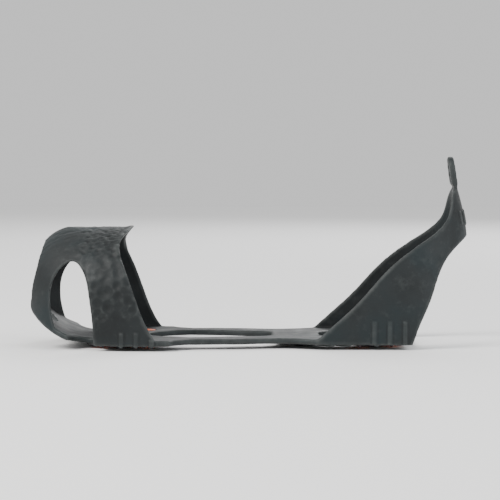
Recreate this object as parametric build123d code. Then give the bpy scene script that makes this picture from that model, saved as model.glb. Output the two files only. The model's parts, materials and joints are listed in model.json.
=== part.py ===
from build123d import *
import os
from math import cos, radians, sin

# One slip-on ice cleat in its worn shape: a moulded rubber harness with studs.
# Toe towards -X, heel towards +X, Z up, stud tips on Z = 0, millimetres.

# Sole web
web_thickness = 4.0
web_underside = 3.4  # clear of the ground, so that only the studs bite
toe_tip = -157.0  # outside of the toe wall on the centreline
ball_half_width = 58.5
ball_back = -56.0  # rear corner of the wide ball wings
heel_front = 47.0  # where the web reaches its full heel width
heel_back = 110.5
heel_half_width = 48.2
heel_corner_radius = 9.0
rail_half_width = 38.4  # outside of the two rails at their narrowest
spring_length = 51.0  # stretch of the toe that curves up
spring_radius = 56.0

# Openings in the web
bite_depth = 21.5  # front edge of the web, behind the toe tip
bite_half_width = 26.0
bite_chord = 15.5  # from the deepest point of the bite to the arm tips
notch_ahead_of_ball = 56.5  # middle of the side notch, ahead of the wings' rear corner
notch_half_length = 11.5
notch_half_gap = 35.0  # rubber left beside the centreline
notch_reach = 52.0  # middle of the notch's rounded end
arch_front = -73.0
arch_length = 88.0
arch_half_width = 26.5
arch_tail_half_width = 17.5
arch_corner_radius = 9.0
window_front = 48.5
window_length = 33.0
window_half_width = 17.8
window_corner_radius = 8.5

# Toe cage
cage_wall = 3.2
cage_shoulder = 33.0  # top of the upright side of the sole
cage_crown = 50.0  # dome height above the shoulder
cage_front_round = 38.0
toe_turn = -60.0  # where the toe starts to narrow
plan_power = 2.5
crown_power = 2.15
side_window_height = 60.0
toe_mouth_half_width = 27.0
toe_mouth_height = 73.0
toe_mouth_depth = 30.0

# Heel wings and strap
strap_wall = 3.4
heel_shoulder = 30.0
strap_back = 150.5
strap_half_width = 36.0
strap_mid_height = 84.0
strap_peak_height = 110.5
strap_peak_back = 144.2
strap_peak_half_width = 33.5
heel_wall_back = 156.0
heel_turn = 96.0  # where the heel starts to narrow
heel_power = 2.3

# Pull tab
tab_half_width = 9.0
tab_thickness = 4.6
tab_height = 20.5
tab_lean = 8.0  # degrees forward of upright
tab_rim = 2.2
tab_recess = 0.9
tab_recess_start = 3.0  # above the root
tab_root_depth = 2.0  # blank below the root, trimmed level

# Flex lines, where one stretch of rubber bends against the next
ball_flex_x = -42.0
ball_flex_gap = 0.8
strap_flex_low = (128.0, 46.0)
strap_flex_high = (110.0, 67.5)
strap_flex_gap = 0.6
tab_flex_gap = 0.5

# Studs: a plastic disc and shank, a steel jacket and a carbide pin
ball_studs = [(-102.0, 26.5), (-73.0, 29.2)]
heel_studs = [(75.5, 29.8), (98.0, 20.4)]
pin_diameter = 2.4
pin_length = 5.0
pin_tip_proud = 0.9  # below the jacket
jacket_diameter = 4.4
jacket_length = 5.5
jacket_proud = 1.2  # below the disc
disc_diameter = 13.4
disc_thickness = 1.3
shank_diameter = 7.6
head_diameter = 11.0
head_thickness = 1.4
bore_clearance = 0.05  # rubber round the shank and head
press_clearance = 0.02  # steel in plastic and carbide in steel
seat_ring_width = 3.0
seat_ring_height = 0.9
seat_gap = 0.5  # round the disc
stud_chamfer = 0.4

# Ribs: middle of each rib, half its length and how far its middle leads its ends
rib_width = 2.2
rib_height = 1.2
ball_ribs = [(-129.0, 23.0, 3.0), (-119.0, 19.0, 3.0), (-109.0, 14.5, 2.8), (-99.0, 13.0, 2.8),
             (-88.5, 15.0, 5.0), (-78.5, 15.0, 6.5)]
heel_ribs = [(22.0, 16.5, 1.6), (32.5, 16.5, 1.8), (43.5, 16.5, 3.2), (92.0, 7.0, -2.0),
             (106.0, 11.0, -2.0)]
wing_rib_inner_ball = 41.0
wing_rib_inner_heel = 38.0

# Ribs on the wings: inner end, outer end and, at the ball, height up the arm
wing_ribs_ball = [(-91.0, -87.0, 9.0), (-81.0, -77.0, 9.0), (-70.5, -66.5, 4.5)]
wing_ribs_heel = [(46.0, 57.0), (56.5, 68.0), (88.0, 86.0)]
side_ribs_heel = [84.5, 95.0, 105.5]
side_rib_height_heel = 16.0
side_rib_proud = 0.7
side_rib_root = 0.5  # sunk into the wall
window_rib_gap = 1.5  # rubber between the heel window and the rib round it

# Outlines drawn in steps from the sizes above
waist_from_ball = [(2, 3), (5, -6), (13, -11.5)]  # behind the corner, outside the wing
waist_from_rail = [(-57, 5.2), (-38, 1), (-24, 0), (-11, 4.2)]  # from the heel's front
waist_end = 0.5  # outside the heel wing
arch_widest = 27.0  # behind the tip of the arch opening
arch_nose = (10.0, 9.5)  # behind the tip, in from the widest
arch_tail = (30.0, 5.0)  # ahead of the square end, wider than it
window_nose = 6.0  # straight sides of the heel window, behind its front
arm_back = [(-3, 1.4), (-12, 13), (-21.5, 36), (-30, 59), (-33, 72), (-28, 79.5), (-20, 87)]
side_window_front = 20.5  # behind the toe tip
side_window_left = [(9, -2.6), (2.5, 18), (0, 34)]  # behind its front edge
side_window_arch = [(8, -4), (16.5, 0), (22, -5)]  # below its top
side_window_right = [(-2.5, 38), (0, 18), (1, -2.6)]  # from its rear edge
side_window_root = 6.0  # rear edge of the side window, ahead of the notch's end
strap_low = [(-1, 0.4), (4.5, 15), (14, 37), (20.5, 54.5), (27, 64.5)]  # from the heel's back
strap_low_end = [(-3, -10.5), (6, -4)]  # from the strap's back and middle height
strap_high = [(-2, 6.4), (13.5, 20.5), (27.5, 33.5), (41.5, 49), (55.5, 62), (69.5, 72),
              (81, 80)]  # from the heel's front
strap_high_bend = 89.5
strap_high_rise = 6.0
strap_peak_rise = [(-5, -10), (-1.8, 0)]  # from the peak
heel_second = (22.0, 4.5, 3.5)  # above the shoulder, in from the side and from the back
heel_over = (25.0, 2.0, 6.0)  # above the peak, in from the side and from the back
curl_turn = 80.0  # degrees of the toe's upward curve
overlap = 0.5  # how far a moulded detail is sunk into its parent

far = 400.0  # reach of the cutting shapes
notch_middle = ball_back - notch_ahead_of_ball
spring_start = toe_tip + spring_length
toe_cut = ball_back + 1
heel_cut = heel_front - 30
web_top = web_underside + web_thickness


def plan_face(*edges):
    return make_face(Wire(edges))


def side_prism(face, y_from, y_to):
    """Extrude a face drawn in the XZ plane from one Y to another."""
    return Pos(0, y_from, 0) * extrude(face, amount=y_to - y_from, dir=(0, 1, 0))


def side_wire(points):
    return [(x, 0, z) for x, z in points]


def half_round(front, back, half_width, power, count=6):
    """Points of a superellipse from one side round the end at front to the other side."""
    points = []
    for i in range(-count, count + 1):
        turn = radians(90 * i / count)
        along = cos(turn) ** (2 / power) if abs(i) < count else 0
        across = abs(sin(turn)) ** (2 / power)
        points.append((back + (front - back) * along, half_width * across * (1 if i > 0 else -1)))
    return points


def round_ended_face(front, turn_from, back, half_width, power):
    """A plan face: square at back, straight to turn_from, then round to front."""
    points = half_round(front, turn_from, half_width, power)
    heading = 1 if front > back else -1
    curve = Spline(points, tangents=[(heading, 0), (-heading, 0)])
    corners = [(back, half_width), (back, -half_width)]
    return plan_face(curve, Line(points[-1], corners[0]), Line(*corners),
                     Line(corners[1], points[0]))


def toe_solid(grow):
    """The toe of the shoe that the cage wraps, grown outwards by a wall."""
    tip = toe_tip + cage_wall - grow
    half = ball_half_width - cage_wall + grow
    crown = cage_crown - cage_wall + grow
    round_centre = toe_tip + cage_front_round
    levels = []
    for turn in (0, 20, 38, 54, 67, 78):
        scale = cos(radians(turn)) ** (2 / crown_power)
        height = cage_shoulder + crown * sin(radians(turn)) ** (2 / crown_power)
        front = round_centre + (tip - round_centre) * scale
        face = round_ended_face(front, toe_turn, toe_cut, half * scale, plan_power)
        levels.append(Pos(0, 0, height) * face)
    skirt = Pos(0, 0, cage_shoulder - far) * extrude(
        round_ended_face(tip, toe_turn, toe_cut, half, plan_power), amount=far)
    return skirt + loft(levels)


def heel_solid(grow):
    """The heel of the shoe that the strap wraps, grown outwards by a wall."""
    second_up, second_in, second_ahead = heel_second
    over_up, over_in, over_ahead = heel_over
    sections = [
        (heel_shoulder, heel_half_width, heel_wall_back),
        (heel_shoulder + second_up, heel_half_width - second_in, heel_wall_back - second_ahead),
        (strap_mid_height, strap_half_width, strap_back),
        (strap_peak_height, strap_peak_half_width, strap_peak_back),
        (strap_peak_height + over_up, strap_peak_half_width - over_in,
         strap_peak_back - over_ahead),
    ]
    levels = []
    for height, half, back in sections:
        face = round_ended_face(back - strap_wall + grow, heel_turn, heel_cut,
                                half - strap_wall + grow, heel_power)
        levels.append(Pos(0, 0, height) * face)
    skirt = Pos(0, 0, heel_shoulder - far) * extrude(
        round_ended_face(heel_wall_back - strap_wall + grow, heel_turn, heel_cut,
                         heel_half_width - strap_wall + grow, heel_power), amount=far)
    return skirt + loft(levels)


def sheet(lower, upper):
    """The layer between two heights above the web's underside, curling up at the toe."""
    centre = web_underside + spring_radius
    turn = radians(curl_turn)
    outer = spring_radius - lower
    inner = spring_radius - upper

    def on_curl(radius, angle):
        return (spring_start - radius * sin(angle), 0, centre - radius * cos(angle))

    back = heel_back + far / 8
    edges = [
        Line((back, 0, web_underside + lower), on_curl(outer, 0)),
        ThreePointArc(on_curl(outer, 0), on_curl(outer, turn / 2), on_curl(outer, turn)),
        Line(on_curl(outer, turn), on_curl(inner, turn)),
        ThreePointArc(on_curl(inner, turn), on_curl(inner, turn / 2), on_curl(inner, 0)),
        Line(on_curl(inner, 0), (back, 0, web_underside + upper)),
        Line((back, 0, web_underside + upper), (back, 0, web_underside + lower)),
    ]
    return side_prism(plan_face(*edges), -far / 4, far / 4)


def web_plan():
    """Plan face of the whole sole web, with its bite, notches, waist and openings."""
    toe = round_ended_face(toe_tip, toe_turn, toe_cut, ball_half_width, plan_power)
    middle = make_face(Polyline(
        (ball_back, -ball_half_width), (heel_front, -heel_half_width),
        (heel_back, -heel_half_width), (heel_back, heel_half_width),
        (heel_front, heel_half_width), (ball_back, ball_half_width), close=True))
    rear_corners = middle.vertices().group_by(Axis.X)[-1]
    face = toe + fillet(rear_corners, heel_corner_radius)
    bite_radius = (bite_half_width ** 2 + bite_chord ** 2) / (2 * bite_chord)
    face -= Pos(toe_tip + bite_depth - bite_radius, 0) * Circle(bite_radius)
    for side in (1, -1):
        face -= notch_plan(side)
        face -= waist_plan(side)
    face -= arch_plan()
    face -= heel_window_plan()
    return face


def notch_plan(side):
    """The gap in the web below the side window of the cage."""
    oval = Pos(notch_middle, side * notch_reach) * Ellipse(
        notch_half_length, notch_reach - notch_half_gap)
    strip = Pos(notch_middle, side * (notch_reach + ball_half_width / 2)) * Rectangle(
        2 * notch_half_length, ball_half_width)
    return oval + strip


def waist_plan(side):
    """What is cut away outside each rail, from the ball wing to the heel wing."""
    points = [(ball_back + x, ball_half_width + y) for x, y in waist_from_ball]
    points += [(heel_front + x, rail_half_width + y) for x, y in waist_from_rail]
    points.append((heel_front, heel_half_width + waist_end))
    placed = [(x, side * y) for x, y in points]
    outside = side * far / 4
    last_x = placed[-1][0]
    return make_face(Curve() + [
        Spline(placed),
        Polyline(placed[-1], (last_x, outside), (placed[0][0], outside), placed[0])])


def arch_plan():
    """The long opening under the arch of the foot, pointed at the ball and square at the heel."""
    back = arch_front + arch_length
    side = [
        (arch_front + arch_nose[0], arch_half_width - arch_nose[1]),
        (arch_front + arch_widest, arch_half_width),
        (back - arch_tail[0], arch_tail_half_width + arch_tail[1]),
        (back, arch_tail_half_width),
    ]
    points = [(x, -y) for x, y in reversed(side)] + [(arch_front, 0)] + side
    opening = plan_face(Spline(points), Line(points[-1], points[0]))
    return fillet(opening.vertices().group_by(Axis.X)[-1], arch_corner_radius)


def heel_window_plan(grow=0.0):
    """The rounded triangle in the heel, with its broad side forward."""
    corner = window_corner_radius
    front = window_front + corner
    reach = window_half_width - corner
    tip = window_front + window_length - corner
    nose = front + window_nose
    core = make_face(Polyline((front, -reach), (front, reach), (nose, reach),
                              (tip, 0), (nose, -reach), close=True))
    return offset(core, amount=corner + grow)


def arched_band(middle, half_length, lead, width):
    """A plan band whose middle leads its two ends towards the toe."""
    front = ThreePointArc((middle + lead, -half_length), (middle, 0), (middle + lead, half_length))
    back_x = middle + width
    back = ThreePointArc((back_x + lead, half_length), (back_x, 0), (back_x + lead, -half_length))
    return plan_face(front, Line(front @ 1, back @ 0), back, Line(back @ 1, front @ 0))


def slant_band(inner, outer, width):
    """A plan band from an inner point to an outer one."""
    (x1, y1), (x2, y2) = inner, outer
    half = width / 2
    return make_face(Polyline((x1 - half, y1), (x1 + half, y1), (x2 + half, y2),
                              (x2 - half, y2), close=True))


def on_rib_layer(face):
    """Stand a plan band on the underside of the web, following its curl."""
    return (Pos(0, 0, -far / 8) * extrude(face, amount=far / 4)) & sheet(-rib_height, overlap)


def wall_band(x, height, skin):
    """A pair of ribs that run up the outside of both side walls."""
    return (Pos(x, 0, web_underside + height / 2) * Box(rib_width, far / 2, height)) & skin


def seat_positions(studs):
    return [(x, side * y) for x, y in studs for side in (1, -1)]


def seat_rings(studs):
    """Raised lips that each stud disc sits inside."""
    inner = disc_diameter / 2 + seat_gap
    rings = []
    for x, y in seat_positions(studs):
        ring = Cylinder(inner + seat_ring_width, seat_ring_height + overlap)
        ring -= Cylinder(inner, far)
        rings.append(Pos(x, y, web_underside + (overlap - seat_ring_height) / 2) * ring)
    return rings


def seat_bores(studs):
    """Holes for the shanks, with a recess for each head on the shoe side."""
    bores = []
    for x, y in seat_positions(studs):
        shank = Pos(0, 0, web_top - web_thickness) * Cylinder(
            shank_diameter / 2 + bore_clearance, 2 * web_thickness)
        head = Pos(0, 0, web_top) * Cylinder(
            head_diameter / 2 + bore_clearance, 2 * head_thickness)
        disc_room = Pos(0, 0, web_underside - web_thickness / 2) * Cylinder(
            disc_diameter / 2 + seat_gap, web_thickness)
        bores.append(Pos(x, y, 0) * (shank + head + disc_room))
    return bores


def toe_cage():
    """Four arms and a top band, moulded in one with the web."""
    wall = toe_solid(cage_wall) - toe_solid(0)
    wall -= sheet(-far, 0)
    back_edge = Spline(side_wire([(ball_back + x, z) for x, z in arm_back]))
    beyond = toe_tip - far / 8
    outline = plan_face(
        back_edge,
        Line(back_edge @ 1, (beyond, 0, far / 4)),
        Line((beyond, 0, far / 4), (beyond, 0, (back_edge @ 0).Z)),
        Line((beyond, 0, (back_edge @ 0).Z), back_edge @ 0))
    wall &= side_prism(outline, -far / 4, far / 4)
    wall -= side_windows()
    wall -= toe_mouth()
    return wall


def side_windows():
    """The tall rounded opening between the front and rear arm on each side."""
    front = toe_tip + side_window_front
    back = notch_middle + notch_half_length - side_window_root
    points = [(front + x, z) for x, z in side_window_left]
    points += [(front + x, side_window_height + z) for x, z in side_window_arch]
    points += [(back + x, z) for x, z in side_window_right]
    outline = Spline(side_wire(points))
    face = plan_face(outline, Line(outline @ 1, outline @ 0))
    left = side_prism(face, notch_half_gap - cage_wall, far / 4)
    return left + mirror(left, about=Plane.XZ)


def toe_mouth():
    """The arched opening that the tip of the shoe looks out of."""
    straight = toe_mouth_height - toe_mouth_half_width
    outline = Pos(0, straight) * Circle(toe_mouth_half_width)
    outline += Pos(0, straight - far / 8) * Rectangle(2 * toe_mouth_half_width, far / 4)
    return Pos(toe_tip, 0, 0) * extrude(Plane.YZ * outline, amount=toe_mouth_depth)


def strap_outline():
    """Side face of the heel wings, the slanting strap and its peak behind the heel."""
    below = [(heel_back + x, z) for x, z in strap_low]
    below += [(strap_back + x, strap_mid_height + z) for x, z in strap_low_end]
    above = [(heel_front + x, z) for x, z in strap_high]
    above.append((heel_front + strap_high_bend, strap_mid_height + strap_high_rise))
    above += [(strap_peak_back + x, strap_peak_height + z) for x, z in strap_peak_rise]
    lower = Spline(side_wire(below))
    upper = Spline(side_wire(above))
    corner = ((lower @ 1).X, 0, strap_peak_height)
    foot = ((upper @ 0).X, 0, (lower @ 0).Z)
    return plan_face(upper, Line(upper @ 1, corner), Line(corner, lower @ 1), lower,
                     Line(lower @ 0, foot), Line(foot, upper @ 0))


def strap_wall_solid():
    wall = heel_solid(strap_wall) - heel_solid(0)
    wall &= side_prism(strap_outline(), -far / 4, far / 4)
    return wall - sheet(-far, 0)


def flex_plane():
    """The plane across both strap bands where they fold back."""
    run = strap_flex_high[0] - strap_flex_low[0]
    rise = strap_flex_high[1] - strap_flex_low[1]
    return Plane(origin=(strap_flex_low[0], 0, strap_flex_low[1]),
                 x_dir=(0, 1, 0), z_dir=(rise, 0, -run))


def harness_forefoot(web):
    body = split(web, bisect_by=Plane.YZ.offset(ball_flex_x - ball_flex_gap / 2), keep=Keep.BOTTOM)
    body += toe_cage()
    for middle, half_length, lead in ball_ribs:
        body += on_rib_layer(arched_band(middle, half_length, lead, rib_width))
    skin = toe_solid(cage_wall + side_rib_proud) - toe_solid(cage_wall - side_rib_root)
    for inner, outer, height in wing_ribs_ball:
        for side in (1, -1):
            body += on_rib_layer(slant_band((inner, side * wing_rib_inner_ball),
                                            (outer, side * (ball_half_width - 1)), rib_width))
        body += wall_band(outer, height, skin)
    for ring in seat_rings(ball_studs):
        body += ring
    for bore in seat_bores(ball_studs):
        body -= bore
    return body


def harness_heel(web, wall):
    body = split(web, bisect_by=Plane.YZ.offset(ball_flex_x + ball_flex_gap / 2), keep=Keep.TOP)
    body += split(wall, bisect_by=flex_plane().offset(-strap_flex_gap / 2), keep=Keep.BOTTOM)
    for middle, half_length, lead in heel_ribs:
        body += on_rib_layer(arched_band(middle, half_length, lead, rib_width))
    ring = heel_window_plan(window_rib_gap + rib_width) - heel_window_plan(window_rib_gap)
    ring -= Pos(window_front, 0) * Rectangle(2 * (window_corner_radius + window_nose), far / 4)
    body += on_rib_layer(ring)
    skin = heel_solid(strap_wall + side_rib_proud) - heel_solid(strap_wall - side_rib_root)
    for inner, outer in wing_ribs_heel:
        for side in (1, -1):
            body += on_rib_layer(slant_band((inner, side * wing_rib_inner_heel),
                                            (outer, side * (heel_half_width - 1)), rib_width))
    for x in side_ribs_heel:
        body += wall_band(x, side_rib_height_heel, skin)
    for seat in seat_rings(heel_studs):
        body += seat
    for bore in seat_bores(heel_studs):
        body -= bore
    return body


def heel_strap(wall):
    """The upper part of both bands and the band behind the heel."""
    return split(wall, bisect_by=flex_plane().offset(strap_flex_gap / 2), keep=Keep.TOP)


def tab_root():
    """Middle of the strap's peak, where the tab springs from."""
    return (strap_peak_back - strap_wall / 2, 0, strap_peak_height + tab_flex_gap)


def pull_tab():
    """A leaning tongue with a raised rim."""
    straight = tab_height - tab_half_width
    shape = Pos(0, straight / 2 - tab_root_depth) * Rectangle(
        2 * tab_half_width, straight + 2 * tab_root_depth)
    shape += Pos(0, straight) * Circle(tab_half_width)
    blank = extrude(Plane.YZ * shape, amount=tab_thickness / 2, both=True)
    panel = extrude(Plane.YZ * offset(shape, amount=-tab_rim), amount=far)
    upper_half = Pos(0, 0, tab_recess_start + far / 4) * Box(2 * far, far, far / 2)
    for face_x in (tab_thickness / 2 - tab_recess, tab_recess - tab_thickness / 2 - far):
        blank -= (Pos(face_x, 0, 0) * panel) & upper_half
    leaning = Pos(*tab_root()) * Rot(0, -tab_lean, 0) * blank
    floor = Pos(0, 0, strap_peak_height + tab_flex_gap - far / 2) * Box(2 * far, far, far)
    return leaning - floor


def stud_housing():
    """Orange plug: a disc on the ground side, a shank through the web and a head inside it."""
    disc_face = pin_tip_proud + jacket_proud
    disc = Pos(0, 0, disc_face + disc_thickness / 2) * Cylinder(disc_diameter / 2, disc_thickness)
    disc = chamfer(disc.edges().sort_by(Axis.Z)[0], stud_chamfer)
    shank_length = web_thickness - head_thickness
    shank = Pos(0, 0, web_underside + shank_length / 2) * Cylinder(shank_diameter / 2, shank_length)
    head = Pos(0, 0, web_top - head_thickness / 2) * Cylinder(head_diameter / 2, head_thickness)
    bore_top = pin_tip_proud + jacket_length
    bore = Pos(0, 0, bore_top - far / 2) * Cylinder(jacket_diameter / 2 + press_clearance, far)
    return disc + shank + head - bore


def stud_jacket():
    """Steel sleeve pressed into the plug, blind at its inner end."""
    sleeve = Pos(0, 0, pin_tip_proud + jacket_length / 2) * Cylinder(
        jacket_diameter / 2, jacket_length)
    sleeve = chamfer(sleeve.edges().sort_by(Axis.Z)[0], stud_chamfer)
    bore = Pos(0, 0, pin_length - far / 2) * Cylinder(pin_diameter / 2 + press_clearance, far)
    return sleeve - bore


def stud_pin():
    """Carbide pin that bites the ice."""
    pin = Pos(0, 0, pin_length / 2) * Cylinder(pin_diameter / 2, pin_length)
    return chamfer(pin.edges().sort_by(Axis.Z)[0], stud_chamfer)


def all_nodes():
    """Every piece by name, before the model is moved to its origin."""
    web = extrude(web_plan(), amount=far / 4) & sheet(0, web_thickness)
    wall = strap_wall_solid()
    nodes = {
        "harness_forefoot": harness_forefoot(web),
        "harness_heel": harness_heel(web, wall),
        "heel_strap": heel_strap(wall),
        "pull_tab": pull_tab(),
    }
    for place, studs in (("ball", ball_studs), ("heel", heel_studs)):
        for number, (x, y) in enumerate(seat_positions(studs), start=1):
            spot = Pos(x, y, 0)
            nodes[f"stud_housing_{place}_{number}"] = spot * stud_housing()
            nodes[f"stud_jacket_{place}_{number}"] = spot * stud_jacket()
            nodes[f"stud_pin_{place}_{number}"] = spot * stud_pin()
    return nodes


nodes = all_nodes()

# The origin is on the ground in the middle of the whole cleat.
whole = Compound(children=[Part() + piece for piece in nodes.values()]).bounding_box()
origin_shift = (-whole.center().X, -whole.center().Y, -whole.min.Z)

os.makedirs("parts", exist_ok=True)
for name, piece in nodes.items():
    export_step(Pos(*origin_shift) * (Part() + piece), os.path.join("parts", name + ".step"))
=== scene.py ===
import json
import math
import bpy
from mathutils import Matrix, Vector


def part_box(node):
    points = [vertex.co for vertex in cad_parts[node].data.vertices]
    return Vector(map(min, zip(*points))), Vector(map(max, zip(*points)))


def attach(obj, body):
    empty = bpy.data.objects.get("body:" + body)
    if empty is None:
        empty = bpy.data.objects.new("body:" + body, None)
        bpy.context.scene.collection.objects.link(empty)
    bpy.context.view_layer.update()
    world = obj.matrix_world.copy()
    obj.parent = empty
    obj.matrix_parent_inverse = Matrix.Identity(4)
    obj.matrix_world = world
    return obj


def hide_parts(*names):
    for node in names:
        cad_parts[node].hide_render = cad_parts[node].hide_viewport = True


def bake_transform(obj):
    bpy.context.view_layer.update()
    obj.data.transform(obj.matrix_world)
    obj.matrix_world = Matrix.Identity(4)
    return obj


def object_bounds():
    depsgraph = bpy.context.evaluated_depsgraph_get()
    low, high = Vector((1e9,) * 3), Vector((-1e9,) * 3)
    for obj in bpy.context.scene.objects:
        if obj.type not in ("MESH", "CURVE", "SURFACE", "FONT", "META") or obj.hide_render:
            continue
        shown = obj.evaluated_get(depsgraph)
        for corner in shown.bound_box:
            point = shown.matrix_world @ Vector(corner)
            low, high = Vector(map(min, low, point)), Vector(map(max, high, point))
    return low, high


bl_info = {
    "name": "Slip-on ice cleat",
    "version": (1, 0, 0),
    "blender": (4, 5, 0),
    "location": "View3D > Sidebar > Ice Cleat",
    "description": "Builds the rubber harness, studs and studio of a slip-on ice cleat round its frame",
    "category": "Object",
}

import bpy
import numpy as np
from mathutils import Vector, noise

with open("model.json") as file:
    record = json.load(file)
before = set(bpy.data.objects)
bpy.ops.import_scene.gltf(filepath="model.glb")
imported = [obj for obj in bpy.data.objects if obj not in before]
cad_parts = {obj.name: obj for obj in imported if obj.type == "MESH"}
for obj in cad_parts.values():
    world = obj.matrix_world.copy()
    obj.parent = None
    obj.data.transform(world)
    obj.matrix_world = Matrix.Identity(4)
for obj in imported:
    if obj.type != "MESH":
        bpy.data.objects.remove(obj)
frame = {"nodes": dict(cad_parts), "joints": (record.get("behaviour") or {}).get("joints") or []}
CAD_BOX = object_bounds()
MM = 0.001

HINGES = {joint["name"]: Vector(joint["pos_m"]) for joint in frame["joints"]}
RUBBER_NODES = ("harness_forefoot", "harness_heel", "heel_strap", "pull_tab")
STUD_ENDS = (("ball", "forefoot"), ("heel", "heel"))
STUDS_PER_END = 4
FIT = 0.02  # mm between steel and plastic, and between carbide and steel
DISC_THICKNESS = 1.3  # mm
HEAD_THICKNESS = 1.4  # mm


# ------------------------------------------------------------------ small tools

def deselect():
    """Nothing selected and no mesh open, whatever was going on before."""
    if bpy.context.object and bpy.context.object.mode != "OBJECT":
        bpy.ops.object.mode_set(mode="OBJECT")
    bpy.ops.object.select_all(action="DESELECT")


def only(piece):
    """Makes piece the one selected, active object."""
    deselect()
    piece.select_set(True)
    bpy.context.view_layer.objects.active = piece


def open_mesh(piece, kind="FACE"):
    only(piece)
    bpy.ops.object.mode_set(mode="EDIT")
    bpy.ops.mesh.select_mode(type=kind)


def close_mesh():
    bpy.ops.object.mode_set(mode="OBJECT")


def select_faces(piece, wanted):
    """Selects the faces whose middle and normal the test accepts, outside edit mode."""
    mesh = piece.data
    for part in (mesh.vertices, mesh.edges, mesh.polygons):
        part.foreach_set("select", [False] * len(part))
    found = [face for face in mesh.polygons if wanted(face.center, face.normal)]
    if not found:
        raise RuntimeError(f"no face of {piece.name} is where it was expected")
    for face in found:
        face.select = True


def apply_modifier(piece, kind, **settings):
    only(piece)
    modifier = piece.modifiers.new(kind.title(), kind)
    for name, value in settings.items():
        setattr(modifier, name, value)
    bpy.ops.object.modifier_apply(modifier=modifier.name)


def own_copy(source, name):
    """A copy with its own mesh, free of the frame's parents and marks."""
    piece = bpy.data.objects.new(name, source.data.copy())
    bpy.context.scene.collection.objects.link(piece)
    piece.data.materials.clear()
    return piece


def vertex_arrays(piece):
    count = len(piece.data.vertices)
    places = np.empty(count * 3, np.float32)
    normals = np.empty(count * 3, np.float32)
    piece.data.vertices.foreach_get("co", places)
    piece.data.vertex_normals.foreach_get("vector", normals)
    return places.reshape(-1, 3).astype(float), normals.reshape(-1, 3).astype(float)


def press(piece, depth):
    """Moves each vertex along its normal by the depth field, outwards where positive."""
    places, normals = vertex_arrays(piece)
    places += normals * depth[:, None]
    piece.data.vertices.foreach_set("co", places.astype(np.float32).ravel())
    piece.data.update()


def ease(value, low, high):
    """0 below low, 1 above high and a soft step between."""
    share = np.clip((value - low) / (high - low), 0.0, 1.0)
    return share * share * (3.0 - 2.0 * share)


def edge_ends(piece):
    ends = np.empty(len(piece.data.edges) * 2, np.int32)
    piece.data.edges.foreach_get("vertices", ends)
    return ends.reshape(-1, 2)


def neighbour_mean(piece):
    """A function giving the mean of every vertex's neighbours, for a field of 3 columns."""
    count = len(piece.data.vertices)
    ends = edge_ends(piece)
    start = np.concatenate((ends[:, 0], ends[:, 1]))
    finish = np.concatenate((ends[:, 1], ends[:, 0]))
    share = 1.0 / np.bincount(start, minlength=count)

    def mean(field):
        return np.stack([np.bincount(start, weights=field[finish, axis], minlength=count) * share
                         for axis in range(3)], axis=1)

    return mean


def widened(piece, share, passes):
    """A field of 0 to 1 grown outwards by a few vertices and softened at its border."""
    mean = neighbour_mean(piece)
    grown = np.repeat(share[:, None], 3, axis=1)
    for _ in range(passes):
        grown = np.maximum(grown, mean(grown))
        grown = mean(grown)
    return np.clip(2.0 * grown[:, 0], 0.0, 1.0)


def crest_field(piece, passes):
    """How far each vertex stands out from the surface as blurred: rims above 0, creases below."""
    places, normals = vertex_arrays(piece)
    mean = neighbour_mean(piece)
    blurred = places
    for _ in range(passes):
        blurred = 0.5 * (blurred + mean(blurred))
    return np.sum((places - blurred) * normals, axis=1)


def soften(piece, share, passes, steps=(0.50, -0.53)):
    """Evens out the surface where share is above 0, by default without making it thinner."""
    places, _normals = vertex_arrays(piece)
    mean = neighbour_mean(piece)
    weight = np.broadcast_to(share, len(places))[:, None]
    for _ in range(passes):
        for step in steps:
            places = places + (mean(places) - places) * step * weight
    piece.data.vertices.foreach_set("co", places.astype(np.float32).ravel())
    piece.data.update()


def keep_field(piece, name, values):
    """Stores one number a vertex under a name that the materials read."""
    attribute = piece.data.attributes.new(name, "FLOAT", "POINT")
    attribute.data.foreach_set("value", values.astype(np.float32))


def smooth_shading(piece, degrees):
    only(piece)
    bpy.ops.object.shade_smooth_by_angle(angle=math.radians(degrees))


# ------------------------------------------------------------------ materials

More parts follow.
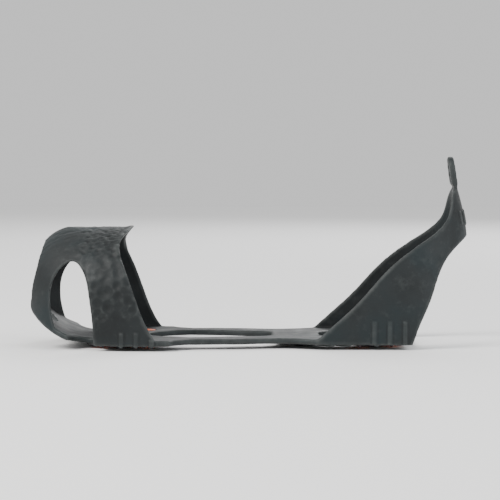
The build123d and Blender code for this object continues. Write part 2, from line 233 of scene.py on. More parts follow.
class Recipe:
    """A node material with one Principled shader, built a step at a time."""

    def __init__(self, name):
        self.material = bpy.data.materials.new(name)
        self.material.use_nodes = True
        self.tree = self.material.node_tree
        self.shader = self.tree.nodes["Principled BSDF"]
        self.coordinates = self.add("ShaderNodeTexCoord").outputs["Object"]

    def add(self, kind, **values):
        node = self.tree.nodes.new(kind)
        for name, value in values.items():
            if name in node.inputs:
                node.inputs[name].default_value = value
            else:
                setattr(node, name, value)
        return node

    def join(self, output, target):
        self.tree.links.new(output, target)

    def noise(self, size_mm, detail=2.0, roughness=0.5, stretch=None):
        node = self.add("ShaderNodeTexNoise")
        node.inputs["Scale"].default_value = 1000.0 / size_mm
        node.inputs["Detail"].default_value = detail
        node.inputs["Roughness"].default_value = roughness
        self.join(self.stretched(stretch), node.inputs["Vector"])
        return node.outputs["Fac"]

    def stretched(self, stretch):
        if stretch is None:
            return self.coordinates
        mapping = self.add("ShaderNodeMapping")
        mapping.inputs["Scale"].default_value = stretch
        self.join(self.coordinates, mapping.inputs["Vector"])
        return mapping.outputs["Vector"]

    def cells(self, size_mm):
        node = self.add("ShaderNodeTexVoronoi")
        node.inputs["Scale"].default_value = 1000.0 / size_mm
        self.join(self.coordinates, node.inputs["Vector"])
        return node.outputs["Distance"]

    def ramp(self, value, *stops):
        node = self.add("ShaderNodeValToRGB")
        band = node.color_ramp
        while len(band.elements) < len(stops):
            band.elements.new(0.5)
        for element, (place, colour) in zip(band.elements, stops):
            element.position = place
            if isinstance(colour, float):
                colour = (colour,) * 3
            element.color = (*colour, 1.0)
        self.join(value, node.inputs["Fac"])
        return node.outputs["Color"]

    def maths(self, operation, first, second):
        node = self.add("ShaderNodeMath", operation=operation)
        for socket, value in zip(node.inputs, (first, second)):
            if isinstance(value, (int, float)):
                socket.default_value = value
            else:
                self.join(value, socket)
        return node.outputs["Value"]

    def mix(self, share, first, second):
        node = self.add("ShaderNodeMix", data_type="RGBA")
        for index, value in ((0, share), (6, first), (7, second)):
            if isinstance(value, (int, float)):
                node.inputs[index].default_value = value
            elif isinstance(value, tuple):
                node.inputs[index].default_value = (*value, 1.0)
            else:
                self.join(value, node.inputs[index])
        return node.outputs[2]

    def bump(self, height, depth_mm, strength=1.0, under=None):
        node = self.add("ShaderNodeBump")
        node.inputs["Strength"].default_value = strength
        node.inputs["Distance"].default_value = depth_mm * MM
        self.join(height, node.inputs["Height"])
        if under is not None:
            self.join(under, node.inputs["Normal"])
        return node.outputs["Normal"]

    def finish(self, colour=None, roughness=None, normal=None, **constants):
        for name, value in (("Base Color", colour), ("Roughness", roughness),
                            ("Normal", normal)):
            if value is not None:
                self.join(value, self.shader.inputs[name])
        for name, value in constants.items():
            self.shader.inputs[name.replace("_", " ")].default_value = value
        return self.material


def rubber(look):
    """Matte moulded rubber: charcoal with a green-blue cast, painted shade in the creases, pale wear
    and a painted highlight on what stands out, pale dust at random.
    """
    recipe = Recipe("harness_rubber")
    dark = tuple(look.rubber_colour)
    deep = tuple(0.62 * c for c in dark)
    cool = (0.86 * dark[0], 1.14 * dark[1], 1.22 * dark[2])
    # The pale tone serves the random dust and specks, and the pale wear with painted highlight on the
    # crests.
    pale = (3.0 * dark[0] + 0.020, 2.8 * dark[1] + 0.020, 2.7 * dark[2] + 0.018)
    base = recipe.ramp(recipe.noise(34.0, 3.0), (0.30, deep), (0.50, dark), (0.72, cool))
    crest = recipe.add("ShaderNodeAttribute", attribute_name="crest").outputs["Fac"]
    shifted = recipe.maths("ADD", recipe.maths("MULTIPLY", crest, 1.15), 0.5)
    # Painted shade: where the crest field falls below zero, in creases and hollows, the colour is
    # darkened towards a third of the rubber's own.
    crease_shade_mask = recipe.ramp(shifted, (0.24, 0.90), (0.485, 0.0))
    shaded = recipe.mix(crease_shade_mask, base, tuple(0.34 * c for c in dark))
    dust = recipe.noise(7.0, 6.0, 0.66)
    # Pale wear with a painted highlight: what stands out by the crest field is lightened towards the
    # pale tone, in patches set by the dust noise.
    wear_and_highlight_share = recipe.maths("MULTIPLY", recipe.ramp(shifted, (0.53, 0.0), (0.80, 1.0)),
                          recipe.ramp(dust, (0.30, 0.25), (0.62, 1.0)))
    wear_and_highlight_tone = recipe.mix(recipe.maths("MULTIPLY", wear_and_highlight_share, 0.78), shaded, pale)
    dusty = recipe.mix(recipe.ramp(dust, (0.54, 0.0), (0.80, 0.30)), wear_and_highlight_tone, pale)
    specks = recipe.noise(0.9, 3.0, 0.6)
    colour = recipe.mix(recipe.ramp(specks, (0.64, 0.0), (0.76, 0.30)), dusty, pale)
    grain = recipe.bump(recipe.cells(0.8), 0.06, 0.4)
    pores = recipe.bump(recipe.noise(0.4, 2.0), 0.03, 0.5, grain)
    drawn = recipe.noise(1.7, 2.0, 0.5, stretch=(1.0, 1.0, 0.06))
    striped = recipe.bump(drawn, 0.12, 0.35, pores)
    normal = recipe.bump(recipe.noise(5.0, 4.0), 0.14, 0.5, striped)
    rough = recipe.ramp(recipe.noise(12.0, 5.0, 0.65), (0.30, 0.44), (0.70, 0.64))
    return recipe.finish(colour, rough, normal, Specular_IOR_Level=0.24, Sheen_Weight=0.03,
                         Sheen_Roughness=0.5)


def orange_plastic(look):
    """Satin orange polymer with slight flow marks and scuffs."""
    recipe = Recipe("stud_orange")
    bright = tuple(look.orange_colour)
    deep = (0.86 * bright[0], 0.72 * bright[1], 0.7 * bright[2])
    pale = (min(1.0, 1.05 * bright[0] + 0.01), 1.30 * bright[1] + 0.01, bright[2] + 0.015)
    base = recipe.ramp(recipe.noise(5.0, 3.0), (0.3, deep), (0.5, bright), (0.74, pale))
    scuffs = recipe.noise(0.8, 4.0, 0.7, stretch=(1.0, 0.25, 1.0))
    colour = recipe.mix(recipe.ramp(scuffs, (0.60, 0.0), (0.80, 0.35)), base, pale)
    rough = recipe.ramp(recipe.noise(2.5, 3.0), (0.3, 0.30), (0.7, 0.46))
    normal = recipe.bump(recipe.noise(0.5, 3.0), 0.02, 0.5)
    return recipe.finish(colour, rough, normal, Specular_IOR_Level=0.5, Coat_Weight=0.05,
                         Coat_Roughness=0.25)


def turned_steel(look):
    """Steel sleeve with fine turning rings and small dull patches."""
    recipe = Recipe("stud_steel")
    bright = tuple(look.steel_colour)
    dull = tuple(0.55 * c for c in bright)
    base = recipe.ramp(recipe.noise(1.6, 4.0, 0.6), (0.30, dull), (0.62, bright))
    rings = recipe.noise(0.22, 3.0, 0.6, stretch=(0.25, 0.25, 3.0))
    rough = recipe.ramp(recipe.noise(0.9, 3.0), (0.3, 0.20), (0.7, 0.42))
    normal = recipe.bump(rings, 0.03, 0.6)
    return recipe.finish(base, rough, normal, Metallic=1.0)


def carbide(look):
    """Ground sintered carbide, darker and duller than the sleeve."""
    recipe = Recipe("stud_carbide")
    grey = tuple(look.carbide_colour)
    dark = tuple(0.5 * c for c in grey)
    base = recipe.ramp(recipe.noise(0.5, 5.0, 0.7), (0.28, dark), (0.66, grey))
    rough = recipe.ramp(recipe.noise(0.3, 3.0), (0.3, 0.26), (0.7, 0.5))
    normal = recipe.bump(recipe.cells(0.12), 0.02, 0.5)
    return recipe.finish(base, rough, normal, Metallic=1.0)


# ------------------------------------------------------------------ properties

class CleatLook(bpy.types.PropertyGroup):
    """Colours of the finishes."""

    rubber_colour: bpy.props.FloatVectorProperty(
        name="Rubber", description="Base colour of the moulded harness",
        subtype="COLOR", min=0.0, max=1.0, default=(0.0112, 0.0142, 0.0150))
    orange_colour: bpy.props.FloatVectorProperty(
        name="Stud plastic", description="Base colour of the stud discs",
        subtype="COLOR", min=0.0, max=1.0, default=(0.93, 0.135, 0.004))
    steel_colour: bpy.props.FloatVectorProperty(
        name="Steel", description="Base colour of the stud sleeves",
        subtype="COLOR", min=0.0, max=1.0, default=(0.62, 0.62, 0.65))
    carbide_colour: bpy.props.FloatVectorProperty(
        name="Carbide", description="Base colour of the pins",
        subtype="COLOR", min=0.0, max=1.0, default=(0.42, 0.44, 0.50))


class CleatShape(bpy.types.PropertyGroup):
    """Sizes of what is moulded into the rubber."""

    skin_step: bpy.props.FloatProperty(
        name="Mesh step", description="Distance between points of the rubber skin",
        default=0.70 * MM, unit="LENGTH", precision=5)
    most_triangles: bpy.props.IntProperty(
        name="Most triangles", description="Each stretch of the skin is thinned to this many",
        default=188000, min=1000)
    rounding_passes: bpy.props.IntProperty(
        name="Rounding passes", description="How often the moulded edges are softened",
        default=4, min=0, max=40)
    rim_passes: bpy.props.IntProperty(
        name="Rim passes", description="How often the free rims are evened out again",
        default=16, min=0, max=80)
    joint_passes: bpy.props.IntProperty(
        name="Joint passes", description="How often the rubber is evened out where it bends",
        default=14, min=0, max=80)
    hammer_pitch: bpy.props.FloatProperty(
        name="Hammer pitch", description="Distance between the dimples on the arms",
        default=7.0 * MM, unit="LENGTH", precision=5)
    hammer_depth: bpy.props.FloatProperty(
        name="Hammer depth", description="Depth of the dimples on the arms",
        default=0.70 * MM, unit="LENGTH", precision=5)
    scale_pitch: bpy.props.FloatProperty(
        name="Scale pitch", description="Distance between the small scales on the top band",
        default=3.6 * MM, unit="LENGTH", precision=5)
    scale_depth: bpy.props.FloatProperty(
        name="Scale depth", description="Depth of the small scales on the top band",
        default=0.42 * MM, unit="LENGTH", precision=5)
    stretch_line_depth: bpy.props.FloatProperty(
        name="Stretch line depth", description="Height of the lines along the top band",
        default=0.28 * MM, unit="LENGTH", precision=5)
    lip_height: bpy.props.FloatProperty(
        name="Lip height", description="How far the back rim of the top band stands up",
        default=0.9 * MM, unit="LENGTH", precision=5)
    rib_lift: bpy.props.FloatProperty(
        name="Rib lift", description="Extra height of the ribs under the web",
        default=0.15 * MM, unit="LENGTH", precision=5)
    rail_dimple_width: bpy.props.FloatProperty(
        name="Rail dimple width", description="Width of the round dimples under the rails",
        default=3.4 * MM, unit="LENGTH", precision=5)
    rail_dimple_depth: bpy.props.FloatProperty(
        name="Rail dimple depth", description="Depth of the round dimples under the rails",
        default=0.7 * MM, unit="LENGTH", precision=5)
    panel_depth: bpy.props.FloatProperty(
        name="Panel depth", description="How far the ribbed panels lie below the web's face",
        default=0.55 * MM, unit="LENGTH", precision=5)
    head_radius: bpy.props.FloatProperty(
        name="Head radius", description="Radius of each plug's head inside the shoe side",
        default=5.5 * MM, unit="LENGTH", precision=5)
    shank_radius: bpy.props.FloatProperty(
        name="Shank radius", description="Radius of each plug's shank in the rubber",
        default=3.8 * MM, unit="LENGTH", precision=5)
    stud_steps: bpy.props.IntProperty(
        name="Stud steps", description="Faces round each turned piece", default=56, min=8)
    ball_bend: bpy.props.FloatProperty(
        name="Ball bend", description="Length of rail over which the sole bends",
        default=26.0 * MM, unit="LENGTH", precision=5)
    strap_bend: bpy.props.FloatProperty(
        name="Strap bend", description="Length of strap over which it folds back",
        default=20.0 * MM, unit="LENGTH", precision=5)
    tab_bend: bpy.props.FloatProperty(
        name="Tab bend", description="Length of rubber over which the tab folds",
        default=7.0 * MM, unit="LENGTH", precision=5)


# ------------------------------------------------------------------ the rubber harness

BALL = HINGES["ball_flex"]
STRAP = HINGES["strap_fold"]
TAB = HINGES["tab_fold"]
STRAP_RUN = Vector((21.5, 0.0, 18.0)).normalized()  # square to the strap's fold line
WEB_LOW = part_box("stud_housing_ball_1")[0].z + DISC_THICKNESS * MM
BRIDGE = 1.6 * MM  # how far a cut end runs on across its flex gap
MERGE = 0.005 * MM
HEELWARD = Vector((1, 0, 0))  # square to the ball's fold line
UPWARD = Vector((0, 0, 1))
SPRING_START = -105.95 * MM  # where the web begins to curl up at the toe
SPRING_RADIUS = 56.0 * MM
CAGE_MIDDLE = np.array((-92.0, 0.0, 34.0)) * MM
CAGE_SHOULDER = 33.0 * MM  # height where the arms turn in over the shoe
CAGE_TURN = 52 * MM  # radius that the turn over the shoe is measured along
CAGE_REAR = -60 * MM  # the cage lies ahead of this
BAND_EDGE_HEIGHTS = [59 * MM, 72 * MM, 79.5 * MM, 87 * MM]
BAND_EDGE_PLACES = [-86 * MM, -89 * MM, -84 * MM, -76 * MM]
WALL_INSIDE = 41 * MM  # the side walls lie this far out and further
BALL_PANEL_HALF = 17.6 * MM
HEEL_PANEL_HALF = 16.6 * MM
PANEL_TAPER_START = -112 * MM
RAIL_STATIONS = [-45 * MM, 15 * MM, 45 * MM]
RAIL_MIDDLES = [35.5 * MM, 28.0 * MM, 30.0 * MM]
RAIL_DIMPLES = 9
RAIL_DIMPLE_STEP = 11.0 * MM
RAIL_DIMPLE_START = -48 * MM
RAIL_LANE = 4.2 * MM
STRAP_BACK = 125 * MM
GRIP_MIDDLE = 89 * MM
GRIP_STEP = 5.2 * MM
GRIP_RISE = 0.7 * MM


def bridged_copy(node, place, direction):
    """A merged copy of a rubber node whose cut end is run on across the flex gap."""
    piece = own_copy(frame["nodes"][node], node + "_raw")
    open_mesh(piece, "VERT")
    bpy.ops.mesh.select_all(action="SELECT")
    bpy.ops.mesh.remove_doubles(threshold=MERGE)
    close_mesh()
    if direction is None:
        return piece
    reach = 1.0 * MM

    def on_cut(middle, normal):
        return normal.dot(direction) > 0.98 and abs((middle - place).dot(direction)) < reach

    select_faces(piece, on_cut)
    open_mesh(piece)
    bpy.ops.mesh.extrude_region_move(
        TRANSFORM_OT_translate={"value": tuple(direction * BRIDGE)})
    close_mesh()
    return piece


def raw_harness():
    """The four stretches of rubber in one object, overlapping where they meet."""
    ends = {
        "harness_forefoot": (BALL, HEELWARD),
        "harness_heel": (STRAP, STRAP_RUN),
        "heel_strap": (TAB, UPWARD),
        "pull_tab": (TAB, None),
    }
    raws = [bridged_copy(node, *ends[node]) for node in RUBBER_NODES]
    deselect()
    for raw in raws:
        raw.select_set(True)
    bpy.context.view_layer.objects.active = raws[0]
    bpy.ops.object.join()
    return raws[0]


def scatter(column, row, salt):
    """A steady number from 0 to 1 for each cell of a grid."""
    wave = np.sin(column * 127.1 + row * 311.7 + salt * 74.7) * 43758.5453
    return wave - np.floor(wave)


def hammer_marks(across, along, pitch, uneven):
    """Depth of round dents on an uneven grid: up to 1 in one dent, more where they overlap."""
    row_step = pitch * 0.87
    own_row = np.floor(along / row_step)
    total = np.zeros(across.shape)
    for row_shift in (-1, 0, 1, 2):
        row = own_row + row_shift
        offset = (row % 2) * 0.5
        own_column = np.floor(across / pitch - offset)
        for column_shift in (-1, 0, 1, 2):
            column = own_column + column_shift
            middle_x = (column + offset + uneven * (scatter(column, row, 1) - 0.5)) * pitch
            middle_y = (row + uneven * (scatter(column, row, 2) - 0.5)) * row_step
            radius = pitch * (0.52 + 0.20 * scatter(column, row, 3))
            gap = np.hypot(across - middle_x, along - middle_y) / radius
            dent = np.clip(1.0 - gap * gap, 0.0, 1.0) ** 2
            total += dent * (0.5 + 0.5 * scatter(column, row, 4))
    return total


def cage_relief(places, normals, shape):
    """Hammered dents on the arms, finer ones on the top band and stretch lines along it."""
    outward = places - CAGE_MIDDLE
    outward /= np.linalg.norm(outward, axis=1)[:, None]
    facing = ease(np.sum(outward * normals, axis=1), 0.35, 0.6)
    on_cage = ease(places[:, 2], 15 * MM, 24 * MM) * (places[:, 0] < CAGE_REAR) * facing
    turn = np.arctan2(np.maximum(places[:, 2] - CAGE_SHOULDER, 0), np.abs(places[:, 1]) + 1e-9)
    climb = np.where(places[:, 2] < CAGE_SHOULDER, places[:, 2] - CAGE_SHOULDER,
                     turn * CAGE_TURN)
    climb *= np.sign(places[:, 1] + 1e-9)
    top = ease(places[:, 2], 60 * MM, 70 * MM)
    rear = ease(places[:, 0], -124 * MM, -110 * MM)
    arms = hammer_marks(places[:, 0], climb, shape.hammer_pitch, 0.75)
    fine = hammer_marks(places[:, 0] * 0.8, climb, shape.scale_pitch, 0.9)
    depth = -arms * shape.hammer_depth * (1 - 0.6 * top) * (0.12 + 0.88 * rear)
    depth -= fine * shape.scale_depth * (0.15 + 0.85 * top) * (0.3 + 0.7 * rear)
    lines = waviness(places * (0.22, 1.0, 0.55), 3.2 * MM, 1.0)
    depth += lines * shape.stretch_line_depth * top
    return depth * on_cage


def rolled_lip(places, normals, shape):
    """The thicker rim at the back of the top band."""
    edge = np.interp(places[:, 2], BAND_EDGE_HEIGHTS, BAND_EDGE_PLACES)
    along = ease(places[:, 0] - edge, -6.5 * MM, -2.0 * MM) * ease(places[:, 2], 62 * MM, 70 * MM)
    ahead = places[:, 0] < -70 * MM
    return along * ahead * ease(normals[:, 2], 0.0, 0.4) * shape.lip_height


def web_gap(places):
    """How far each point lies below the plain underside of the web, which curls at the toe."""
    ahead = np.maximum(SPRING_START - places[:, 0], 0.0)
    rise = SPRING_RADIUS - np.sqrt(np.maximum(SPRING_RADIUS ** 2 - ahead ** 2, 0.0))
    return WEB_LOW + rise - places[:, 2]


def underside(places, normals):
    """1 on the ground side of the web, 0 on its rims and elsewhere."""
    below = ease(web_gap(places), -1.2 * MM, -0.4 * MM)
    return below * ease(-normals[:, 2], 0.62, 0.9)


def away_from_side_ribs(places):
    """0 on the low outer walls that carry upright ribs, 1 elsewhere."""
    x, y = places[:, 0], np.abs(places[:, 1])
    ball = ease(x, -96 * MM, -93 * MM) * ease(-x, 61 * MM, 63 * MM)
    heel = ease(x, 80 * MM, 82 * MM)
    return 1 - np.maximum(ball, heel) * ease(y, WALL_INSIDE, WALL_INSIDE + 3 * MM)


def rib_share(places):
    """1 on the crests of the ribs under the web, 0 between them."""
    return ease(web_gap(places), 0.35 * MM, 0.85 * MM)


def panel_share(places):
    """1 in the sunk panels between the stud columns, 0 outside them."""
    x, y = places[:, 0], np.abs(places[:, 1])
    step = 0.5 * MM
    ball_half = BALL_PANEL_HALF + np.maximum(PANEL_TAPER_START - x, 0.0) * 0.30
    ball = ease(ball_half - y, -step, step) * ease(-x, 44 * MM, 45 * MM)
    heel = ease(HEEL_PANEL_HALF - y, -step, step) * ease(x, 17 * MM, 18 * MM)
    return np.maximum(ball, heel)


def sole_relief(places, normals, shape):
    """Sinks the panels and lifts the ribs that the remeshing rounded."""
    ribs = rib_share(places)
    depth = shape.rib_lift * ribs - shape.panel_depth * panel_share(places) * (1 - ribs)
    return depth * underside(places, normals)


def rail_relief(places, normals, shape):
    """Two staggered rows of round dimples under each rail."""
    x, y = places[:, 0], np.abs(places[:, 1])
    depth = np.zeros(len(places))
    radius = shape.rail_dimple_width / 2
    for count in range(RAIL_DIMPLES):
        along = RAIL_DIMPLE_START + count * RAIL_DIMPLE_STEP
        lane_middle = np.interp(along, RAIL_STATIONS, RAIL_MIDDLES)
        for lane, shift in ((-RAIL_LANE, 0.0), (RAIL_LANE, RAIL_DIMPLE_STEP / 2)):
            gap = np.hypot(x - along - shift, y - lane_middle - lane)
            depth -= shape.rail_dimple_depth * (1 - ease(gap, radius * 0.55, radius))
    return depth * underside(places, normals)


def waviness(places, size, depth):
    """Slow uneven swelling, as rubber has out of the mould and under tension."""
    points = (places / size).tolist()
    return np.array([noise.noise(point) for point in points]) * depth


def grip_bars(places, normals):
    """Short upright bars on the back of the strap."""
    y, z = places[:, 1], places[:, 2]
    height = np.zeros(len(places))
    behind = ease(normals[:, 0], 0.25, 0.5) * (places[:, 0] > STRAP_BACK)
    for count in range(-3, 4):
        across = np.abs(y - count * GRIP_STEP)
        tall = 5.2 * MM - abs(count) * 0.5 * MM
        bar = 1 - ease(across, 0.8 * MM, 1.5 * MM)
        bar = bar * (1 - ease(np.abs(z - GRIP_MIDDLE), tall, tall + 1.0 * MM))
        height = np.maximum(height, bar)
    return height * behind * GRIP_RISE


def cut_at(piece, place, direction, keep_ahead):
    """Cuts a piece square across and closes the cut."""
    open_mesh(piece)
    bpy.ops.mesh.select_all(action="SELECT")
    bpy.ops.mesh.bisect(plane_co=place, plane_no=direction, use_fill=True,
                        clear_inner=keep_ahead, clear_outer=not keep_ahead)
    close_mesh()


def thin_out(piece, most):
    """Merges faces where the surface is flattest until the piece has few enough triangles."""
    count = sum(face.loop_total - 2 for face in piece.data.polygons)
    if count > most:
        apply_modifier(piece, "DECIMATE", ratio=most / count, use_collapse_triangulate=True)


def round_edges(whole, shape):
    """Softens the moulded edges, the free rims again and then the places that bend."""
    soften(whole, 1.0, shape.rounding_passes)
    places, _normals = vertex_arrays(whole)
    crest = crest_field(whole, 8)
    above = ease(places[:, 2], 9 * MM, 13 * MM)
    sharp = ease(np.abs(crest), 0.14 * MM, 0.25 * MM) * above
    sharp = np.maximum(sharp, ease(crest, 0.14 * MM, 0.25 * MM) * (1 - above))
    sharp *= 1 - ease(web_gap(places), 0.10 * MM, 0.30 * MM)
    open_rim = np.maximum(above, away_from_side_ribs(places))
    soften(whole, widened(whole, sharp, 4) * open_rim, shape.rim_passes, (0.5,))
    for hinge, run in ((BALL, HEELWARD), (STRAP, STRAP_RUN), (TAB, UPWARD)):
        away = np.abs((places - np.array(hinge)) @ np.array(run))
        near = 1 - ease(away, 1.8 * MM, 4.5 * MM)
        if hinge is STRAP:
            near = near * ease(places[:, 2], 30 * MM, 36 * MM)
        soften(whole, near, shape.joint_passes, (0.5,))


def add_relief(whole, shape):
    """Presses in the marks and stores how far each point stands out, from which the rubber finish
    paints shade in the creases and pale wear with a painted highlight on what stands out.
    """
    places, normals = vertex_arrays(whole)
    inland = 1 - ease(crest_field(whole, 8), 0.10 * MM, 0.30 * MM)
    relief = cage_relief(places, normals, shape) * inland
    relief += rail_relief(places, normals, shape) + sole_relief(places, normals, shape)
    relief += grip_bars(places, normals) + waviness(places, 17 * MM, 0.12 * MM)
    relief += rolled_lip(places, normals, shape)
    press(whole, relief)
    crest = crest_field(whole, 10) / MM
    # Painted light on the sole: rib crests are raised in the stored field, so the finish lightens them
    # with pale wear and a painted highlight; sunk panels are lowered, so it paints shade in them.
    sole_wear_highlight_and_shade = 0.30 * rib_share(places) - 0.12 * panel_share(places)
    keep_field(whole, "crest", crest + sole_wear_highlight_and_shade * underside(places, normals))


def stretches(shape):
    """For each skin: its cuts, the two bodies it follows, its hinge and how it bends there."""
    strap_seam = STRAP - STRAP_RUN * (shape.strap_bend / 2 + 4 * MM)
    tab_seam = TAB - Vector((0, 0, shape.tab_bend / 2 + 3 * MM))
    return {
        "forefoot_skin": (
            ((BALL, HEELWARD, False),),
            "forefoot", "heel", BALL, HEELWARD, shape.ball_bend),
        "heel_skin": (
            ((BALL, HEELWARD, True), (strap_seam, STRAP_RUN, False)),
            "forefoot", "heel", BALL, HEELWARD, shape.ball_bend),
        "strap_skin": (
            ((strap_seam, STRAP_RUN, True), (tab_seam, UPWARD, False)),
            "heel", "strap", STRAP, STRAP_RUN, shape.strap_bend),
        "tab_skin": (
            ((tab_seam, UPWARD, True),),
            "strap", "tab", TAB, UPWARD, shape.tab_bend),
    }


class CLEAT_OT_harness(bpy.types.Operator):
    """Builds the rubber skin and parts it into its four stretches"""

    bl_idname = "cleat.harness"
    bl_label = "Rubber harness"

    def execute(self, context):
        shape = context.scene.cleat_shape
        whole = raw_harness()
        apply_modifier(whole, "REMESH", mode="VOXEL", voxel_size=shape.skin_step,
                       use_smooth_shade=True)
        round_edges(whole, shape)
        add_relief(whole, shape)
        finish = rubber(context.scene.cleat_look)
        for (name, stretch), node in zip(stretches(shape).items(), RUBBER_NODES):
            cuts, body_a, body_b, hinge, direction, length = stretch
            piece = own_copy(whole, name)
            piece.data.materials.append(finish)
            for place, across, keep_ahead in cuts:
                cut_at(piece, place, across, keep_ahead)
            thin_out(piece, shape.most_triangles)
            smooth_shading(piece, 50)
            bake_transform(piece)
            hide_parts(node)
        bpy.data.objects.remove(whole)
        return {"FINISHED"}


# ------------------------------------------------------------------ studs

def lathe(name, outline, steps):
    """Turns a profile of (radius, height) points round the Z axis into a closed piece."""
    mesh = bpy.data.meshes.new(name)
    count = len(outline)
    closed = outline[0][0] > 0.0
    edges = [(i, i + 1) for i in range(count - 1)] + ([(count - 1, 0)] if closed else [])
    mesh.from_pydata([(r * MM, 0.0, z * MM) for r, z in outline], edges, [])
    piece = bpy.data.objects.new(name, mesh)
    bpy.context.scene.collection.objects.link(piece)
    apply_modifier(piece, "SCREW", angle=math.tau, screw_offset=0.0, steps=steps,
                   render_steps=steps, axis="Z", use_merge_vertices=True,
                   merge_threshold=0.001 * MM, use_smooth_shade=True)
    open_mesh(piece)
    bpy.ops.mesh.select_all(action="SELECT")
    bpy.ops.mesh.remove_doubles(threshold=0.001 * MM)
    bpy.ops.mesh.normals_make_consistent(inside=False)
    close_mesh()
    return piece


def rounded(corners, radius, steps=3):
    """A profile whose middle corners are rounded where they are given a radius."""
    outline = [corners[0][:2]]
    for before, corner, after in zip(corners, corners[1:], corners[2:]):
        size = radius if len(corner) < 3 else corner[2]
        here = Vector(corner[:2])
        to_before = Vector(before[:2]) - here
        to_after = Vector(after[:2]) - here
        size = min(size, to_before.length / 2, to_after.length / 2)
        first = here + to_before.normalized() * size
        last = here + to_after.normalized() * size
        for step in range(steps + 1):
            share = step / steps
            place = (first * (1 - share) ** 2 + here * 2 * share * (1 - share)
                     + last * share ** 2)
            outline.append(tuple(place))
    outline.append(corners[-1][:2])
    return outline


def housing_outline(disc, head, shank, bore, low, high, bore_top):
    """Plug: dished disc with a collar, shank through the rubber and a domed head inside."""
    return rounded([
        (0.0, high), (head, high, 0.5), (head, high - HEAD_THICKNESS, 0.15),
        (shank, high - HEAD_THICKNESS, 0.2), (shank, low + DISC_THICKNESS, 0.2),
        (disc, low + DISC_THICKNESS, 0.25), (disc, low, 0.55),
        (disc - 1.1, low, 0.3), (disc - 1.6, low + 0.28, 0.3), (bore + 1.35, low + 0.28, 0.3),
        (bore + 0.95, low - 0.12, 0.25), (bore, low - 0.12, 0.12), (bore, bore_top, 0.1),
        (0.0, bore_top)], 0.2)


def jacket_outline(radius, bore, low, high, floor):
    """Turned sleeve with a groove and a rolled nose, blind at its inner end."""
    return rounded([
        (0.0, high), (radius, high, 0.15), (radius, low + 0.95, 0.05),
        (radius - 0.14, low + 0.86, 0.05), (radius - 0.14, low + 0.66, 0.05),
        (radius, low + 0.56, 0.08), (radius, low + 0.30, 0.2), (radius - 0.42, low, 0.12),
        (bore + 0.16, low, 0.08), (bore, low + 0.16, 0.05), (bore, floor, 0.05),
        (0.0, floor)], 0.1)


def pin_outline(radius, high):
    """Ground pin with a small flat left on its cone."""
    return rounded([
        (0.0, high), (radius, high, 0.1), (radius, 0.46, 0.08), (radius * 0.62, 0.12, 0.1),
        (radius * 0.34, 0.0, 0.06), (0.0, 0.0)], 0.05)


class CLEAT_OT_studs(bpy.types.Operator):
    """Turns the plug, steel sleeve and carbide pin of every stud"""

    bl_idname = "cleat.studs"
    bl_label = "Studs"

    def execute(self, context):
        look = context.scene.cleat_look
        shape = context.scene.cleat_shape
        finishes = {"housing": orange_plastic(look), "jacket": turned_steel(look),
                    "pin": carbide(look)}
        for end, body in STUD_ENDS:
            for number in range(1, STUDS_PER_END + 1):
                sizes = {}
                for part in finishes:
                    low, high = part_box(f"stud_{part}_{end}_{number}")
                    sizes[part] = ((high.x - low.x) / 2 / MM, low.z / MM, high.z / MM)
                disc, disc_low, head_high = sizes["housing"]
                sleeve, sleeve_low, sleeve_high = sizes["jacket"]
                pin, _pin_low, pin_high = sizes["pin"]
                outlines = {
                    "housing": housing_outline(
                        disc, shape.head_radius / MM, shape.shank_radius / MM, sleeve + FIT,
                        disc_low, head_high, sleeve_high),
                    "jacket": jacket_outline(sleeve, pin + FIT, sleeve_low, sleeve_high, pin_high),
                    "pin": pin_outline(pin, pin_high),
                }
                low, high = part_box(f"stud_pin_{end}_{number}")
                middle = (low + high) / 2
                for part, outline in outlines.items():
                    piece = lathe(f"{part}_{end}_{number}", outline, shape.stud_steps)
                    piece.location = (middle.x, middle.y, 0.0)
                    only(piece)
                    bpy.ops.object.transform_apply(location=True, rotation=False, scale=False)
                    piece.data.materials.append(finishes[part])
                    smooth_shading(piece, 40)
                    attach(piece, body)
                    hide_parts(f"stud_{part}_{end}_{number}")
        return {"FINISHED"}


# ------------------------------------------------------------------ stage

def lamp(name, place, aim, size, watts, colour):
    bpy.ops.object.light_add(type="AREA", location=place)
    light = bpy.context.object
    light.name = name
    light.data.size = size
    light.data.energy = watts
    light.data.color = colour
    light.rotation_euler = (Vector(aim) - Vector(place)).to_track_quat("-Z", "Y").to_euler()


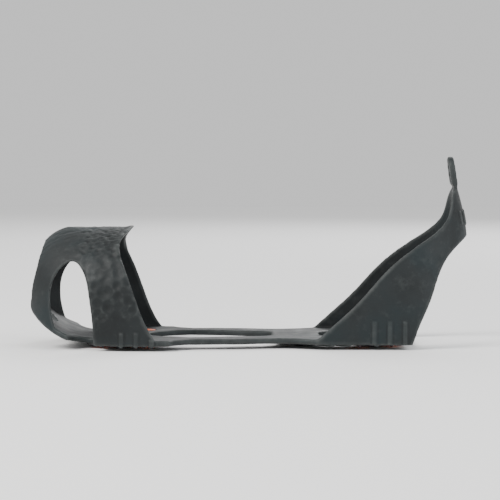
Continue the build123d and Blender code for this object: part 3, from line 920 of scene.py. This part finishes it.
class CLEAT_OT_stage(bpy.types.Operator):
    """Sets the pale floor, the soft lights and the camera"""

    bl_idname = "cleat.stage"
    bl_label = "Studio"

    def execute(self, context):
        stage = context.scene.cleat_stage
        deselect()
        bpy.ops.mesh.primitive_plane_add(size=6.0, location=(0, 0, 0))
        floor = context.object
        floor.name = "studio_floor"
        recipe = Recipe("studio_paper")
        tone = stage.floor_tone
        colour = recipe.ramp(recipe.noise(400.0, 2.0), (0.3, tone * 0.985), (0.7, tone))
        floor.data.materials.append(recipe.finish(colour, Roughness=0.9))
        lamp("key", (-1.2, -0.9, 1.4), (0, 0, 0.03), 0.9, stage.key_watts, (1.0, 0.985, 0.96))
        lamp("fill", (1.4, -1.0, 0.8), (0, 0, 0.04), 1.4, stage.fill_watts, (0.94, 0.97, 1.0))
        lamp("back", (0.5, 1.6, 1.1), (0, 0, 0.05), 1.2, stage.back_watts, (1.0, 1.0, 1.0))
        world = bpy.data.worlds.new("studio_air")
        world.use_nodes = True
        world.node_tree.nodes["Background"].inputs["Color"].default_value = (1, 1, 1, 1)
        world.node_tree.nodes["Background"].inputs["Strength"].default_value = stage.air
        context.scene.world = world
        middle = (CAD_BOX[0] + CAD_BOX[1]) / 2
        turn, lift = stage.camera_turn, stage.camera_lift
        away = Vector((-math.sin(turn) * math.cos(lift), -math.cos(turn) * math.cos(lift),
                       math.sin(lift)))
        bpy.ops.object.camera_add(location=middle + away * stage.camera_distance)
        camera = context.object
        camera.name = "photo_camera"
        camera.rotation_euler = (-away).to_track_quat("-Z", "Y").to_euler()
        camera.data.lens = camera.data.sensor_width * stage.camera_distance / stage.camera_field
        context.scene.camera = camera
        return {"FINISHED"}


class CleatStage(bpy.types.PropertyGroup):
    """Floor, light and camera."""

    floor_tone: bpy.props.FloatProperty(
        name="Floor tone", description="Brightness of the paper floor", default=0.92,
        min=0.0, max=1.0)
    key_watts: bpy.props.FloatProperty(
        name="Key light", description="Power of the main soft light", default=46.0, min=0.0)
    fill_watts: bpy.props.FloatProperty(
        name="Fill light", description="Power of the light from the heel side", default=18.0,
        min=0.0)
    back_watts: bpy.props.FloatProperty(
        name="Back light", description="Power of the light behind", default=16.0, min=0.0)
    air: bpy.props.FloatProperty(
        name="Surrounding light", description="Strength of the even light all round",
        default=0.80, min=0.0)
    camera_turn: bpy.props.FloatProperty(
        name="Camera turn", description="How far the camera has gone round from the side",
        default=math.radians(0.0), subtype="ANGLE")
    camera_lift: bpy.props.FloatProperty(
        name="Camera lift", description="How far the camera looks down",
        default=math.radians(3.0), subtype="ANGLE")
    camera_distance: bpy.props.FloatProperty(
        name="Camera distance", description="From the camera to the middle of the cleat",
        default=1.5, unit="LENGTH")
    camera_field: bpy.props.FloatProperty(
        name="Field", description="Width seen at the cleat's distance", default=0.350,
        unit="LENGTH")


# ------------------------------------------------------------------ panel

class CLEAT_PT_panel(bpy.types.Panel):
    """Lists the builders and their settings"""

    bl_idname = "CLEAT_PT_panel"
    bl_label = "Ice cleat"
    bl_space_type = "VIEW_3D"
    bl_region_type = "UI"
    bl_category = "Ice Cleat"

    def draw(self, context):
        layout = self.layout
        for operator in (CLEAT_OT_stage, CLEAT_OT_harness, CLEAT_OT_studs):
            layout.operator(operator.bl_idname)
        for group in (context.scene.cleat_look, context.scene.cleat_shape,
                      context.scene.cleat_stage):
            box = layout.box()
            for name in group.__annotations__:
                box.prop(group, name)


CLASSES = (CleatLook, CleatShape, CleatStage, CLEAT_OT_stage, CLEAT_OT_harness,
           CLEAT_OT_studs, CLEAT_PT_panel)
GROUPS = {"cleat_look": CleatLook, "cleat_shape": CleatShape, "cleat_stage": CleatStage}


def register():
    for item in CLASSES:
        bpy.utils.register_class(item)
    for name, group in GROUPS.items():
        setattr(bpy.types.Scene, name, bpy.props.PointerProperty(type=group))


def unregister():
    for name in GROUPS:
        delattr(bpy.types.Scene, name)
    for item in reversed(CLASSES):
        bpy.utils.unregister_class(item)


def main():
    register()
    bpy.ops.cleat.stage()
    bpy.ops.cleat.harness()
    bpy.ops.cleat.studs()
    deselect()


if __name__ == "__main__":
    main()
